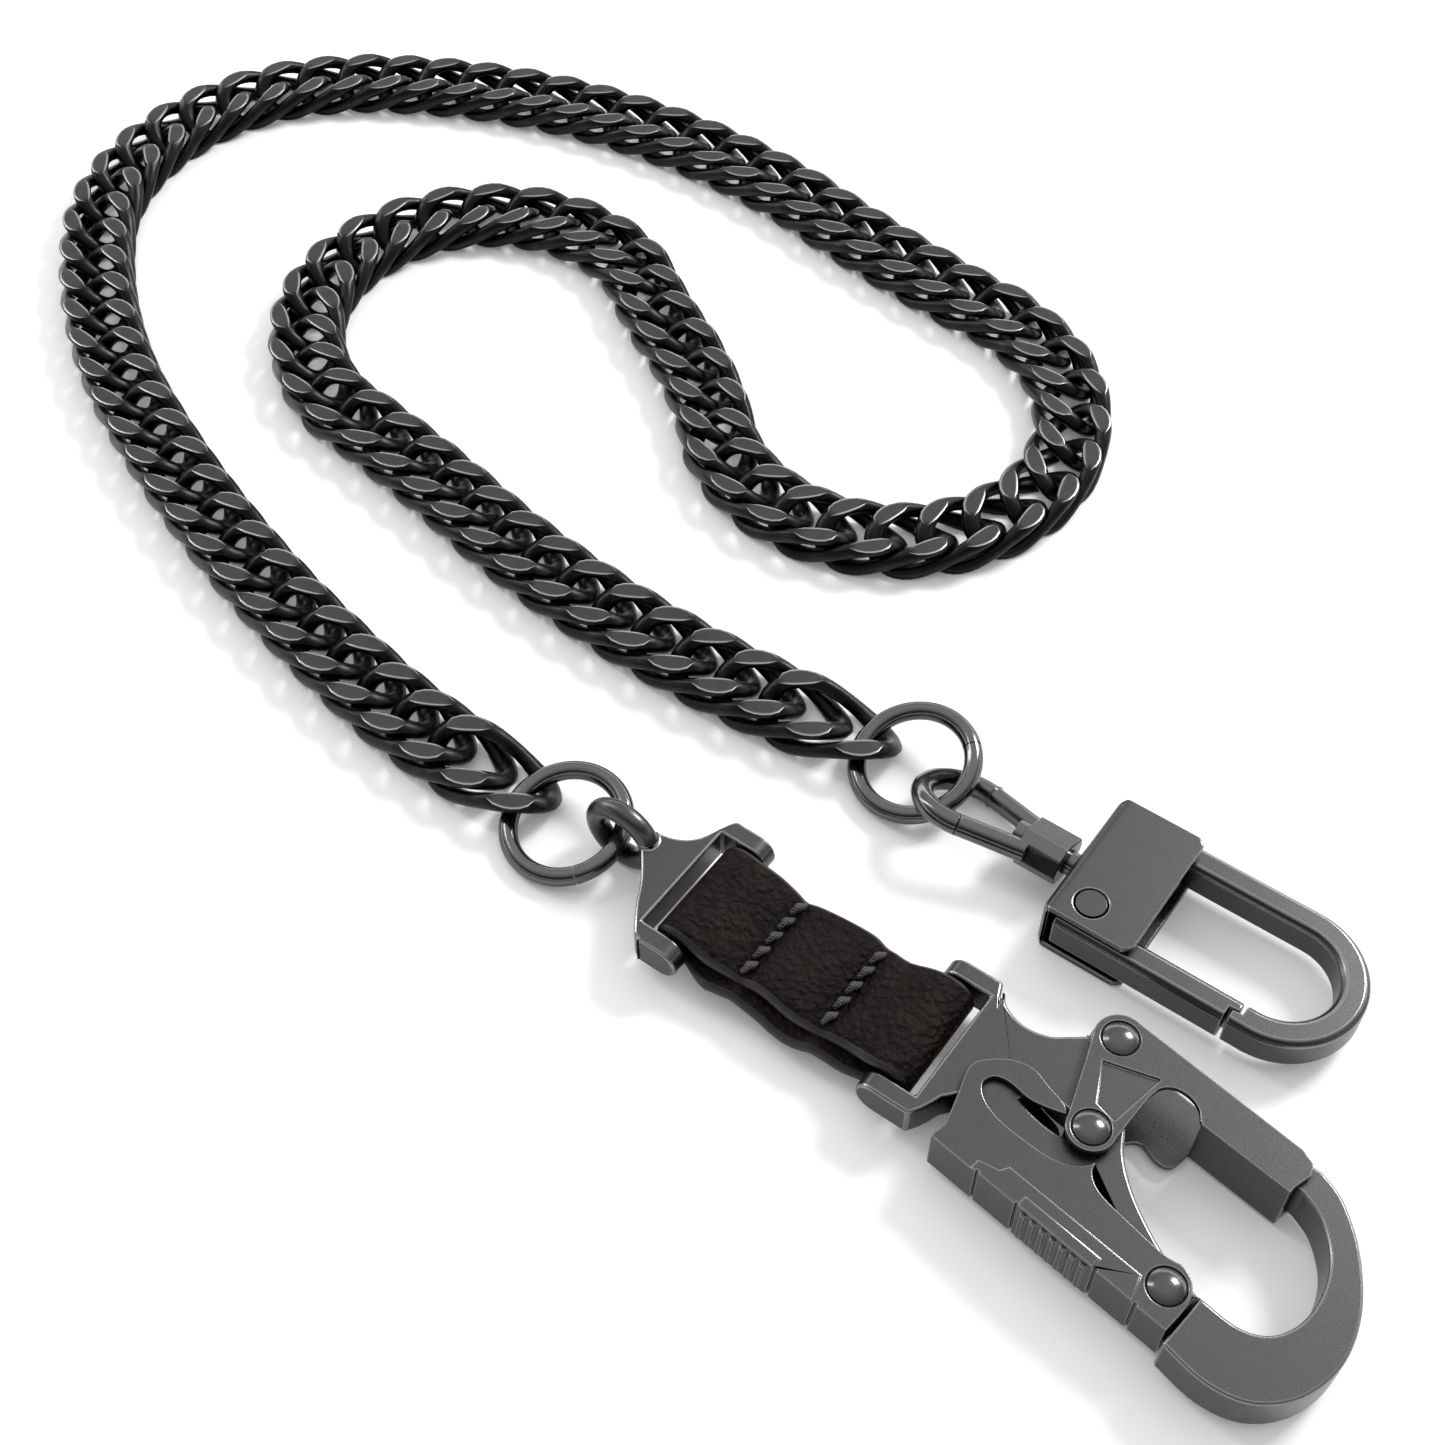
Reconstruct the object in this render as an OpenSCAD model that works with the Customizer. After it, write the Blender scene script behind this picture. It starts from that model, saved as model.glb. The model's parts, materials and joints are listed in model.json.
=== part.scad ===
// Wallet chain: a double curb chain with a split ring at each end. One ring carries a
// leather strap with a double-action snap hook, the other a swivel hook.
// The chain lies in an S on the floor, z = 0, and every other piece is placed from its ends.

/* [Chain] */
// Distance between the centres of neighbouring links
pitch = 6.5; // [6.3:0.1:7]
// Diameter of the wire that the links are bent from
wire_d = 1.9; // [1.5:0.05:2]
// How much wider the wire is pressed at the four corners of a link
press = 0.4; // [0:0.05:0.5]
// Free play between the noses of every second link
nose_play = 1.3; // [1:0.05:1.4]
// Height of the chain across its cut flats
chain_t = 4.8; // [4.4:0.1:5.2]
// Number of chain segments that flex against each other
segments = 20; // [10:1:20]

/* [Rings] */
// Outer diameter of both split rings
ring_d = 16.5; // [14:0.5:20]
// Wire diameter of both split rings
ring_wire = 2.3; // [1.6:0.1:2.6]
// Width of the slit where each ring is closed
ring_slit = 0.15; // [0.1:0.05:0.5]

/* [Strap] */
// Width of the leather strap
strap_w = 14; // [10:1:18]
// Thickness of one layer of leather
leather_t = 1.5; // [1:0.1:1.8]
// Distance between the two crossbars that the strap is looped round
strap_len = 28.4; // [24:0.2:40]
// Diameter of the crossbars
crossbar_d = 2.2; // [1.8:0.1:2.6]
// Distance of each row of stitches from the nearer crossbar
stitch_reach = 7.4; // [6:0.2:9]

/* [Strap fitting] */
// Thickness of the cast wire of the eye
eye_wire = 2.6; // [2:0.1:2.8]
// Diameter of the hole in the eye
eye_hole = 5.2; // [4.8:0.1:6.5]
// Width of each arm beside the strap
arm_w = 2.3; // [1.8:0.1:3]
// Thickness of the flat cast parts
plate_t = 4.4; // [4:0.2:5]

/* [Snap hook] */
// Thickness of the folded lever sheet
lever_t = 0.7; // [0.5:0.1:1]
// Thickness of the folded gate sheet
gate_t = 0.7; // [0.5:0.1:1]
// Height of the domed rivet heads
dome_h = 0.6; // [0.4:0.1:0.9]
// Thickness of the bow
bow_t = 5.6; // [4.8:0.2:5.8]
// Diameter of the three pivot and lock pins
pin_d = 2.4; // [2:0.1:2.6]

/* [Swivel hook] */
// Length of the folded housing
housing_l = 11; // [9:0.5:14]
// Width of the folded housing
housing_w = 18.4; // [17:0.2:21]
// Outer height of the folded housing
housing_h = 8; // [7.6:0.2:9]
// Thickness of the housing sheet
housing_wall = 0.8; // [0.6:0.1:1.2]
// Length of the hook from the housing to the end of its bend
hook_reach = 23.9; // [20:0.1:30]
// Width of the bar that the hook is bent from
bar_w = 3.3; // [2.8:0.1:3.8]
// Thickness of the bar that the hook is bent from
bar_t = 4.8; // [4:0.2:5]
// Length of the swivel eye from its nose to the collar face
eye_len = 20.6; // [19:0.2:24]

/* [Fits] */
// Radial clearance of a turning pin in its bore
run_fit = 0.05; // [0.03:0.01:0.1]
// Clearance beside the lock pin in its slots
slot_play = 0.3; // [0.2:0.05:0.4]
// Side clearance between sheets that slide on each other
side_gap = 0.1; // [0.08:0.01:0.15]
// Clearance between the leather and the metal beside it
leather_gap = 0.2; // [0.1:0.05:0.4]

/* [Hidden] */
$fn = 48;
eps = 0.01;

// ---- chain ----
// Sections of the route: number of links, and the turn in degrees at each of them
ROUTE = [
    [3, -4], [10, -1.5], [4, -3.75], [2, -4], [2, -10.5], [6, -10.75], [2, -7.5], [5, -3.75], [7, -3.5],
    [5, 1.25], [2, -12], [13, -15], [3, 5], [2, -2.5], [12, 15], [2, 13.5], [4, -1.25], [9, 2.25]
];
route_start = [-13.35, -33.82];
route_heading = 146.7;
turns = [for (s = ROUTE) each [for (k = [1:s[0]]) s[1]]];
links = len(turns) + 1;
link_a = pitch + (wire_d + nose_play) / 2;
link_b = 2 * wire_d + 0.75;
link_rise = wire_d + 0.1;
link_z = chain_t / 2;
link_rings = 12;
wire_sides = 6;

function dir(a) = [cos(a), sin(a)];
function turn_at(i) = i < len(turns) ? turns[i] : 0;

link_heading = [for (i = 0, h = route_heading; i < links; h = h + turn_at(i), i = i + 1) h];
function mid_heading(i) = i + 1 < links ? (link_heading[i] + link_heading[i + 1]) / 2 : 0;
link_centre = [for (i = 0, p = route_start; i < links; p = p + pitch * dir(mid_heading(i)), i = i + 1) p];
// First link of each segment: the links are shared out evenly
first_link = [for (k = [0:segments]) round(k * links / segments)];

// ---- split rings ----
ring_r = (ring_d - ring_wire) / 2;
ring_cross = link_a - wire_d / 2 - ring_wire / 2 - 1;
function ring_vec(tilt, az, a) =
    let (c = ring_r * cos(a) * cos(tilt), s = ring_r * sin(a))
    [c * cos(az) - s * sin(az), c * sin(az) + s * cos(az), ring_r * cos(a) * sin(tilt)];

// Ring at the strap end: lean, the side it leans up to, and where the link and the eye cross it
ring_a_tilt = 12.4;
ring_a_az = 35;
ring_a_link = 103;
ring_a_eye = -57;
ring_a_cross = link_centre[0] - ring_cross * dir(link_heading[0]);
ring_a_low = ring_wire / 2 + ring_r * sin(ring_a_tilt);
ring_a_v = ring_vec(ring_a_tilt, ring_a_az, ring_a_link);
ring_a = [ring_a_cross[0] - ring_a_v[0], ring_a_cross[1] - ring_a_v[1], ring_a_low];

// Ring at the swivel end
ring_b_tilt = 16;
ring_b_az = 29;
ring_b_link = 115;
ring_b_eye = -83;
ring_b_lift = 0.2;
last = links - 1;
ring_b_cross = link_centre[last] + ring_cross * dir(link_heading[last]);
ring_b_low = ring_wire / 2 + ring_r * sin(ring_b_tilt) + ring_b_lift;
ring_b_v = ring_vec(ring_b_tilt, ring_b_az, ring_b_link);
ring_b = [ring_b_cross[0] - ring_b_v[0], ring_b_cross[1] - ring_b_v[1], ring_b_low];

// ---- strap fitting: frame at the point where the ring passes through the eye ----
mid_z = plate_t / 2 + 2 * side_gap + lever_t + gate_t + dome_h;
fitting_heading = -36.5;
eye_shift = 1.5;
eye_a_point = ring_a + ring_vec(ring_a_tilt, ring_a_az, ring_a_eye);
fitting_origin = [eye_a_point[0], eye_a_point[1]]
    - eye_shift * dir(fitting_heading + 90);
eye_r = (eye_hole + eye_wire) / 2;
eye_x = 0.5;
eye_z = eye_r + eye_wire / 2 - 0.4;
loop_r = crossbar_d / 2 + 0.1 + leather_t;
frame_in = strap_w / 2 + 2 * leather_gap;
frame_out = frame_in + arm_w;
slot_gap = 1.2;
crossbar_x = eye_x + eye_r + 9.8;
slot_x = crossbar_x - loop_r - slot_gap;

// ---- strap ----
strap_origin = fitting_origin + crossbar_x * dir(fitting_heading);
strap_end = strap_origin + strap_len * dir(fitting_heading);

// ---- snap hook: frame at the gate pivot ----
hook_heading = -44;
hook_skew = fitting_heading - hook_heading;
hook_bar = [-16.6, -12.6];
hook_origin = strap_end - [
    hook_bar[0] * cos(hook_heading) - hook_bar[1] * sin(hook_heading),
    hook_bar[0] * sin(hook_heading) + hook_bar[1] * cos(hook_heading)
];
lock_pin = [4.1, -10.4];
lever_pivot = [19.7, -18.5];
plate_top = mid_z + plate_t / 2;
lever_z = plate_top + side_gap;
gate_z = lever_z + lever_t + side_gap;
lock_r = norm(lock_pin);
lock_angle = atan2(lock_pin[1], lock_pin[0]);
gate_travel = 28;
// Springs round the two pivots lie in recesses of the body
spring_wire = 0.45;
spring_r = pin_d / 2 + spring_wire;
spring_deep = 1.2;
spring_hole = 2 * spring_r + 1.5 * spring_wire;

// ---- swivel hook: frame at the outer face of the housing, x along the swivel axis ----
swivel_heading = -36;
swivel_z = housing_h / 2;
eye_b_wire = 2.7;
eye_b_half = 5.4;
eye_b_roll = -28;
eye_b_play = 1.2;
collar_l = 5.4;
collar_w = 6.8;
collar_t = 4.8;
collar_gap = 1.4;
nose_x = -collar_gap - eye_len;
eye_b_bend = nose_x + eye_b_wire / 2 + eye_b_half;
eye_b_point = ring_b + ring_vec(ring_b_tilt, ring_b_az, ring_b_eye);
ring_in_eye = nose_x + eye_b_wire + ring_wire / 2 + eye_b_play;
swivel_origin = [eye_b_point[0], eye_b_point[1]] - ring_in_eye * dir(swivel_heading);
post_d = 3;
fold_r = 1.3;
bar_r = housing_w / 2 - bar_w / 2 + 0.2;
bar_edge = 0.6;
bend_x = hook_reach + housing_l - bar_r - bar_w / 2;
// The gate turns on a lug inside its bar; the other end of the hook is riveted from below
bar_pivot = [4.4, 1.8 - bar_r];
bar_root = [4.4, bar_r];
bar_pin_d = 2;
bar_blind = bar_t / 2 - 0.8;
lug_d = 4.6;
tail = 2.7;
flat_head_d = 3.5;
flat_head_t = 0.6 * housing_wall;
groove_w = 0.2;
groove_deep = 0.3;
gate_end_x = bend_x - 1.6;
lap = 1.2;
nose_gap = 0.45;

CHAIN = [for (k = [1:segments]) str("chain_links_", k < 10 ? "0" : "", k)];

// ================= shared shapes =================

module at(p, heading, z = 0) {
    translate([p[0], p[1], z]) rotate([0, 0, heading]) children();
}

// Plate of thickness t whose lower face is at z
module plate(points, z, t) {
    translate([0, 0, z]) linear_extrude(t) polygon(points);
}

module pin(p, z0, z1, d) {
    translate([p[0], p[1], z0]) cylinder(h = z1 - z0, d = d);
}

// Curve through every point of a list, n steps to each stretch (Catmull-Rom)
function curve(p, n = 6) = [
    for (i = [0:len(p) - 2]) for (k = [0:n - 1])
        let (
            a = p[max(i - 1, 0)], b = p[i], c = p[i + 1], d = p[min(i + 2, len(p) - 1)],
            t = k / n
        )
        0.5 * (2 * b + (c - a) * t + (2 * a - 5 * b + 4 * c - d) * t * t
            + (3 * b - a - 3 * c + d) * t * t * t),
    p[len(p) - 1]
];

function arc(c, r, a0, a1, n = 8) = [for (k = [0:n]) c + r * dir(a0 + (a1 - a0) * k / n)];

// Cap of a sphere: diameter d and height h, on the plane z = 0
module dome(d, h) {
    r = (d * d / 4 + h * h) / (2 * h);
    intersection() {
        translate([0, 0, h - r]) sphere(r);
        translate([-d, -d, 0]) cube([2 * d, 2 * d, h + 1]);
    }
}

// Rivet through both sheets at height z0 to z1, with a domed head outside each
module domed_rivet(p, z0, z1) {
    pin(p, z0 - eps, z1 + eps, pin_d);
    translate([p[0], p[1], z1]) dome(1.6 * pin_d, dome_h);
    translate([p[0], p[1], z0]) mirror([0, 0, 1]) dome(1.6 * pin_d, dome_h);
}

// Ring groove round the domed head of a rivet, cut into the sheet whose upper face is at z
module head_groove(p, z) {
    difference() {
        pin(p, z - groove_deep, z + 1, 1.6 * pin_d + 2 * groove_w);
        pin(p, z - 1, z + 2, 1.6 * pin_d);
    }
}

// ================= chain =================

// One wire section of a link: a hexagon round the centreline, pressed wider at the corners and cut flat
function link_section(t) =
    let (
        c = [link_a * cos(t), link_b * sin(t), -link_rise * sin(2 * t)],
        d = [-link_a * sin(t), link_b * cos(t), -2 * link_rise * cos(2 * t)],
        n = cross(d, [0, 0, 1]) / norm(cross(d, [0, 0, 1])),
        b = cross(n, d / norm(d)),
        wide = 1 + press * pow(sin(2 * t), 2)
    )
    [for (k = [0:wire_sides - 1])
        let (p = c + wire_d / 2 * (n * wide * cos(360 * k / wire_sides) + b * sin(360 * k / wire_sides)))
        [p[0], p[1], max(-link_z, min(link_z, p[2]))]];

link_points = [for (i = [0:link_rings - 1]) each link_section(360 * i / link_rings)];
function link_index(i, k) = (i % link_rings) * wire_sides + k % wire_sides;
link_faces = [
    for (i = [0:link_rings - 1]) for (k = [0:wire_sides - 1]) each [
        [link_index(i, k), link_index(i, k + 1), link_index(i + 1, k + 1)],
        [link_index(i, k), link_index(i + 1, k + 1), link_index(i + 1, k)]
    ]
];

module chain_links(k) {
    color("#48484a")
        for (i = [first_link[k - 1]:first_link[k] - 1])
            at(link_centre[i], link_heading[i], link_z) polyhedron(link_points, link_faces);
}

// ================= rings =================

module split_ring(centre, tilt, az, slit_angle) {
    color("#5c5c60")
        translate(centre) rotate([0, 0, az]) rotate([0, -tilt, 0])
            difference() {
                rotate_extrude($fn = 96) translate([ring_r, 0]) circle(d = ring_wire);
                rotate([0, 0, slit_angle])
                    translate([ring_r - ring_wire, -ring_slit / 2, -ring_wire])
                        cube([2 * ring_wire, ring_slit, 2 * ring_wire]);
            }
}

module ring_strap_side() {
    split_ring(ring_a, ring_a_tilt, ring_a_az, -115);
}

module ring_hook_side() {
    split_ring(ring_b, ring_b_tilt, ring_b_az, -21);
}

// ================= strap =================

// The frame that holds a strap: two arms and a crossbar, x towards the strap end
module strap_frame(x_bar, x_root) {
    for (s = [-1, 1])
        translate([0, s * (frame_in + arm_w / 2), 0])
            rotate([90, 0, 0])
                translate([0, 0, -arm_w / 2])
                    linear_extrude(arm_w)
                        union() {
                            translate([x_bar, 0]) circle(d = plate_t);
                            translate([min(x_bar, x_root), -plate_t / 2])
                                square([abs(x_bar - x_root), plate_t]);
                        }
    translate([x_bar, 0, 0]) rotate([90, 0, 0])
        cylinder(h = 2 * frame_in + arm_w, d = crossbar_d, center = true);
}

module strap_fitting() {
    color("#57575a")
        at(fitting_origin, fitting_heading) {
            // Eye, cut flat where it lies on the floor
            difference() {
                translate([eye_x, eye_shift, eye_z]) rotate([90, 0, 0])
                    rotate_extrude($fn = 72) translate([eye_r, 0]) circle(d = eye_wire);
                translate([-20, -20, -10]) cube([40, 40, 10]);
            }
            // Plate that flares from the eye to the arms
            difference() {
                plate(concat(
                    curve([[eye_x + eye_r - 0.2, eye_shift + 1.5], [slot_x - 3.6, eye_shift + 2.2],
                        [slot_x - 1.6, 5.4], [slot_x + 0.2, frame_out - 0.4], [slot_x + 1.4, frame_out]]),
                    [[slot_x + 1.4, -frame_out]],
                    curve([[slot_x + 0.2, -frame_out + 0.4], [slot_x - 1.8, -6.4],
                        [slot_x - 3.6, -3.2], [eye_x + eye_r - 0.2, eye_shift - 1.5]])
                ), mid_z - plate_t / 2, plate_t);
                translate([slot_x, -frame_in, mid_z - plate_t])
                    cube([20, 2 * frame_in, 2 * plate_t]);
            }
            translate([0, 0, mid_z]) strap_frame(crossbar_x, slot_x + 1);
        }
}

// Outline of the strap seen from its edge: a loop round each crossbar, pressed flat between
function strap_end_outline() = concat(
    [[stitch_reach, leather_t], [stitch_reach - 1.2, leather_t + 0.1]],
    arc([0, 0], loop_r, 72, 288, 24),
    [[stitch_reach - 1.2, -leather_t - 0.1], [stitch_reach, -leather_t]]
);

module strap_profile() {
    a = strap_end_outline();
    polygon(concat(a, [for (q = a) [strap_len - q[0], -q[1]]]));
}

// Hollow of a loop: round at the crossbar, narrowing to where the layers meet
module loop_hollow() {
    polygon(concat(arc([0, 0], loop_r - leather_t, 80, 280, 20), [[stitch_reach - 2, -0.1], [stitch_reach - 2, 0.1]]));
}

module leather_strap() {
    color("#2c2523")
        at(strap_origin, fitting_heading, mid_z)
            rotate([90, 0, 0]) translate([0, 0, -strap_w / 2])
                linear_extrude(strap_w)
                    difference() {
                        strap_profile();
                        loop_hollow();
                        translate([strap_len, 0]) mirror([1, 0]) loop_hollow();
                    }
}

// ================= snap hook =================

NECK = [[-12.8, -3.2], [-11.6, -4.4], [-8.9, -5.0], [-6.2, -4.2], [-4.4, -2.6], [-3.0, -1.2]];
THROAT = [[2.6, -3.2], [6.2, -7.0], [8.0, -9.6], [10.4, -11.8], [13.6, -13.8], [17.6, -15.6], [22.7, -16.9]];
BOW_OUT = [
    [22.7, -23.4], [28, -23.7], [32.4, -22.2], [35.5, -18.4], [36.5, -13], [35, -7.4], [31.4, -2.2],
    [27.2, 1.3], [23.8, 2.5]
];
BOW_IN = [
    [23.8, -0.9], [26.6, -2.0], [29.6, -4.9], [31.1, -8.6], [31.2, -12.4], [29.8, -15.4], [27, -16.9],
    [22.7, -17]
];

module snap_hook_body() {
    color("#5a5a5d")
        at(hook_origin, hook_heading)
            difference() {
                union() {
                    // Neck, throat and the spine behind the lever
                    plate(concat(
                        curve(NECK), curve(THROAT),
                        [[22.7, -20.9], [19.7, -21], [8, -18.9], [-5, -15.9], [-8.2, -15.6], [-10.2, -18.6]],
                        [[-10.6, -20]]
                    ), mid_z - plate_t / 2, plate_t);
                    pin([0, 0], mid_z - plate_t / 2, plate_top, 6.4);
                    // Bow and nose
                    plate(concat(curve(BOW_OUT), [[21.4, 2.2], [21.4, -0.8]], curve(BOW_IN)),
                        mid_z - bow_t / 2, bow_t);
                    hook_strap_frame();
                }
                pin([0, 0], 0, 10, pin_d);
                pin(lever_pivot, 0, 10, pin_d);
                pin([0, 0], plate_top - spring_deep, 10, spring_hole);
                pin(lever_pivot, plate_top - spring_deep, 10, spring_hole);
                // Slot that the lock pin swings through
                lock_slot();
            }
}

module hook_strap_frame() {
    translate([hook_bar[0], hook_bar[1], mid_z]) rotate([0, 0, hook_skew]) {
        difference() {
            plate(concat(
                [[0, frame_out], [0, -frame_out]],
                curve([
                    [4.4, -frame_out], [5.6, -7.7], [6.8, -4], [8.2, 4], [6.6, 6.4], [5.2, 7.4], [4.2, frame_out]
                ], 4)
            ), -plate_t / 2, plate_t);
            translate([-1, -frame_in, -plate_t])
                cube([loop_r + slot_gap + 1, 2 * frame_in, 2 * plate_t]);
        }
        strap_frame(0, 1);
    }
}

module lock_slot() {
    a0 = lock_angle + 8;
    a1 = lock_angle - gate_travel - 10;
    half = pin_d / 2 + slot_play;
    plate(concat(arc([0, 0], lock_r + half, a0, a1, 12), arc([0, 0], lock_r - half, a1, a0, 12)), 0, 10);
}

GATE_TOP = [
    [0.6, 2.84], [21.2, 2.6], [22.8, 2.0], [23.4, 0.8], [22.9, -1.3], [13.2, -1.3], [13.2, -2.1], [11.8, -2.1]
];
GATE_ARCH = [[11.8, -2.1], [10.8, -1.0], [9.2, -0.5], [7.6, -0.8], [6.6, -1.8], [6.3, -3.4]];
GATE_RECESS = [[0.2, -3.4], [6.0, -1.0], [5.4, -8.2], [2.8, -7.8]];

module snap_gate() {
    lobe_r = 2.7;
    bottom = 2 * mid_z - gate_z - gate_t;
    side = [[lock_pin[0] + 2.6, lock_pin[1] + 0.5], [lock_pin[0] - 2.6, lock_pin[1] - 0.6], [-2.8, -0.6]];
    color("#5a5a5d")
        at(hook_origin, hook_heading)
            difference() {
                union() {
                    plate(concat(GATE_TOP, curve(GATE_ARCH), side), gate_z, gate_t);
                    plate(concat([for (i = [0:4]) GATE_TOP[i]],
                        curve([[12, -2.2], [11.6, -4.8], [10, -5.4], [7.6, -4.9], [6.4, -6]]), side),
                        bottom, gate_t);
                    for (z = [bottom, gate_z]) {
                        pin([0, 0], z, z + gate_t, 5.8);
                        pin(lock_pin, z, z + gate_t, 2 * lobe_r);
                    }
                    // Web that joins the two sheets on the throat side
                    plate([[12, -2.3], [22.9, -2.3], [22.9, -1.3], [12, -1.3]], bottom, gate_z + gate_t - bottom);
                }
                pin([0, 0], -1, 10, pin_d + 2 * run_fit);
                pin(lock_pin, -1, 10, pin_d);
                plate(GATE_RECESS, gate_z + gate_t - 0.35, 1);
                head_groove([0, 0], gate_z + gate_t);
                head_groove(lock_pin, gate_z + gate_t);
            }
}

LEVER_HOOK = [
    [6.6, -12.6], [6.2, -13.6], [5.0, -14.8], [3.0, -15.6], [0, -15.9], [-3.4, -15.9], [-6.0, -15.2],
    [-7.4, -13.8], [-7.0, -12.4], [-5.4, -11.8], [-2.8, -11.9], [-0.8, -11.4], [1.2, -10.6]
];
LEVER_LOBE = [
    [1.2, -10.6], [0.2, -9.8], [-2.2, -9.3], [-4.6, -8.8], [-7.0, -9.6], [-9.1, -11.7], [-9.6, -13.5],
    [-8.4, -16.8], [-7.2, -20.2]
];
LEVER_END = [[22.3, -21.9], [22.3, -18.6], [21.4, -16.6], [19.7, -15.7], [17.6, -16.0], [13.2, -15.7], [9.1, -15.2], [7.2, -14.1], [6.6, -12.6]];

module lock_lever() {
    wall_t = 0.8;
    y_out = -22.2;
    bottom = 2 * mid_z - lever_z - lever_t;
    height = lever_z + lever_t - bottom;
    top = lever_z + lever_t;
    outline = concat(curve(LEVER_HOOK), curve(LEVER_LOBE), [[-7.4, y_out], [22.3, y_out]], curve(LEVER_END));
    color("#565659")
        at(hook_origin, hook_heading)
            difference() {
                union() {
                    plate(outline, lever_z, lever_t);
                    plate(outline, bottom, lever_t);
                    // Stiffening band along the fold, and the thumb pad on it
                    plate([[-2.1, y_out], [-2.1, -21], [0.2, -20.4], [0.7, -19.4], [17.2, -19.4], [18.2, y_out]],
                        top - eps, 0.25);
                    translate([3.9, y_out, top - eps]) cube([9.4, 1.3, 0.45]);
                    // Thumb wall and its ribs
                    translate([-7.4, y_out, bottom]) cube([29.7, wall_t, height]);
                    for (i = [0:6])
                        translate([4.5 + 1.25 * i, y_out - 0.3, bottom + 0.5]) cube([0.65, 0.5, height - 1]);
                }
                // Lines that part the wall into panels
                for (x = [-1.5, 3.6, 13.5, 18.4])
                    translate([x, y_out - 1, bottom - 1]) cube([0.3, 1.3, height + 2]);
                pin(lever_pivot, -1, 10, pin_d + 2 * run_fit);
                head_groove(lever_pivot, top);
            }
}

module gate_pivot_rivet() {
    color("#6a6a6d")
        at(hook_origin, hook_heading)
            domed_rivet([0, 0], 2 * mid_z - gate_z - gate_t, gate_z + gate_t);
}

module lock_pin_rivet() {
    color("#6a6a6d")
        at(hook_origin, hook_heading)
            domed_rivet(lock_pin, 2 * mid_z - gate_z - gate_t, gate_z + gate_t);
}

module lever_pivot_rivet() {
    color("#6a6a6d")
        at(hook_origin, hook_heading)
            domed_rivet(lever_pivot, 2 * mid_z - lever_z - lever_t, lever_z + lever_t);
}

// Torsion spring of two coils round a pin, with its lower end at height z
module coil(p, z, r, wire) {
    color("#8a8a8c")
        translate([p[0], p[1], z])
            rotate_extrude()
                union() {
                    for (k = [0, 1])
                        translate([r, wire * (0.5 + 1.1 * k)]) circle(d = wire, $fn = 24);
                    translate([r - wire / 6, wire / 2]) square([wire / 3, 1.1 * wire]);
                }
}

module gate_spring() {
    at(hook_origin, hook_heading) coil([0, 0], plate_top - spring_deep + 0.02, spring_r, spring_wire);
}

module lever_spring() {
    at(hook_origin, hook_heading) coil(lever_pivot, plate_top - spring_deep + 0.02, spring_r, spring_wire);
}

// ================= swivel hook =================

// Outline of a bar of width w and thickness t with its corners cut by c
function cut_bar(w, t, c) = [
    for (q = [[1, 1], [-1, 1], [-1, -1], [1, -1]])
        let (a = [q[0] * (w / 2 - c), q[1] * t / 2], b = [q[0] * w / 2, q[1] * (t / 2 - c)])
        each (q[0] * q[1] > 0 ? [b, a] : [a, b])
];

module bar_section() {
    polygon(cut_bar(bar_w, bar_t, bar_edge));
}

// Straight bar along x from x0 to x1, at distance y from the axis; the child is its section
module straight_bar(x0, x1, y) {
    translate([x0, y, 0]) rotate([90, 0, 90]) linear_extrude(x1 - x0) children();
}

module swivel_frame() {
    at(swivel_origin, swivel_heading, swivel_z) children();
}

module swivel_eye() {
    back = -collar_gap - collar_l;
    side_end = [back + 1, 2.9];
    // The sides leave the round nose along its tangents
    reach = norm([side_end[0] - eye_b_bend, side_end[1]]);
    lean = atan2(side_end[1], side_end[0] - eye_b_bend) + acos(eye_b_half / reach);
    start = [eye_b_bend + eye_b_half * cos(lean), eye_b_half * sin(lean)];
    color("#5c5c60")
        swivel_frame()
            difference() {
                rotate([eye_b_roll, 0, 0]) {
                    translate([eye_b_bend, 0, 0]) rotate([0, 0, lean])
                        rotate_extrude(angle = 360 - 2 * lean, $fn = 72)
                            translate([eye_b_half, 0]) circle(d = eye_b_wire);
                    for (s = [-1, 1])
                        translate([start[0], s * start[1], 0])
                            rotate([0, 0, s * (lean - 90)]) rotate([0, 90, 0])
                                translate([0, 0, -0.2])
                                    cylinder(h = norm(side_end - start) + 0.2, d = eye_b_wire - 0.04);
                    straight_bar(back, back + collar_l, 0) polygon(cut_bar(collar_w, collar_t, 1.2));
                }
                // Bore for the post
                translate([back - 1, 0, 0]) rotate([0, 90, 0])
                    cylinder(h = collar_l + 2, d = post_d + 2 * run_fit);
            }
}

module swivel_post() {
    head_l = 1.5;
    head_x = -collar_gap - collar_l - side_gap;
    color("#6a6a6d")
        swivel_frame()
            rotate([0, 90, 0]) {
                translate([0, 0, head_x - head_l]) cylinder(h = head_l, d = post_d + 0.4);
                translate([0, 0, head_x - eps]) cylinder(h = housing_wall - head_x + 2 * eps, d = post_d);
                translate([0, 0, housing_wall]) cylinder(h = 0.7, d = post_d + 1.6);
            }
}

// Side view of the folded sheet, d inside its outer face
function fold_outline(d) =
    let (h = housing_h / 2 - d, r = fold_r - d)
    concat(
        [[housing_l + d, -h], [housing_l + d, h]],
        arc([d + r, h - r], r, 90, 180, 6), arc([d + r, r - h], r, 180, 270, 6)
    );

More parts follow.
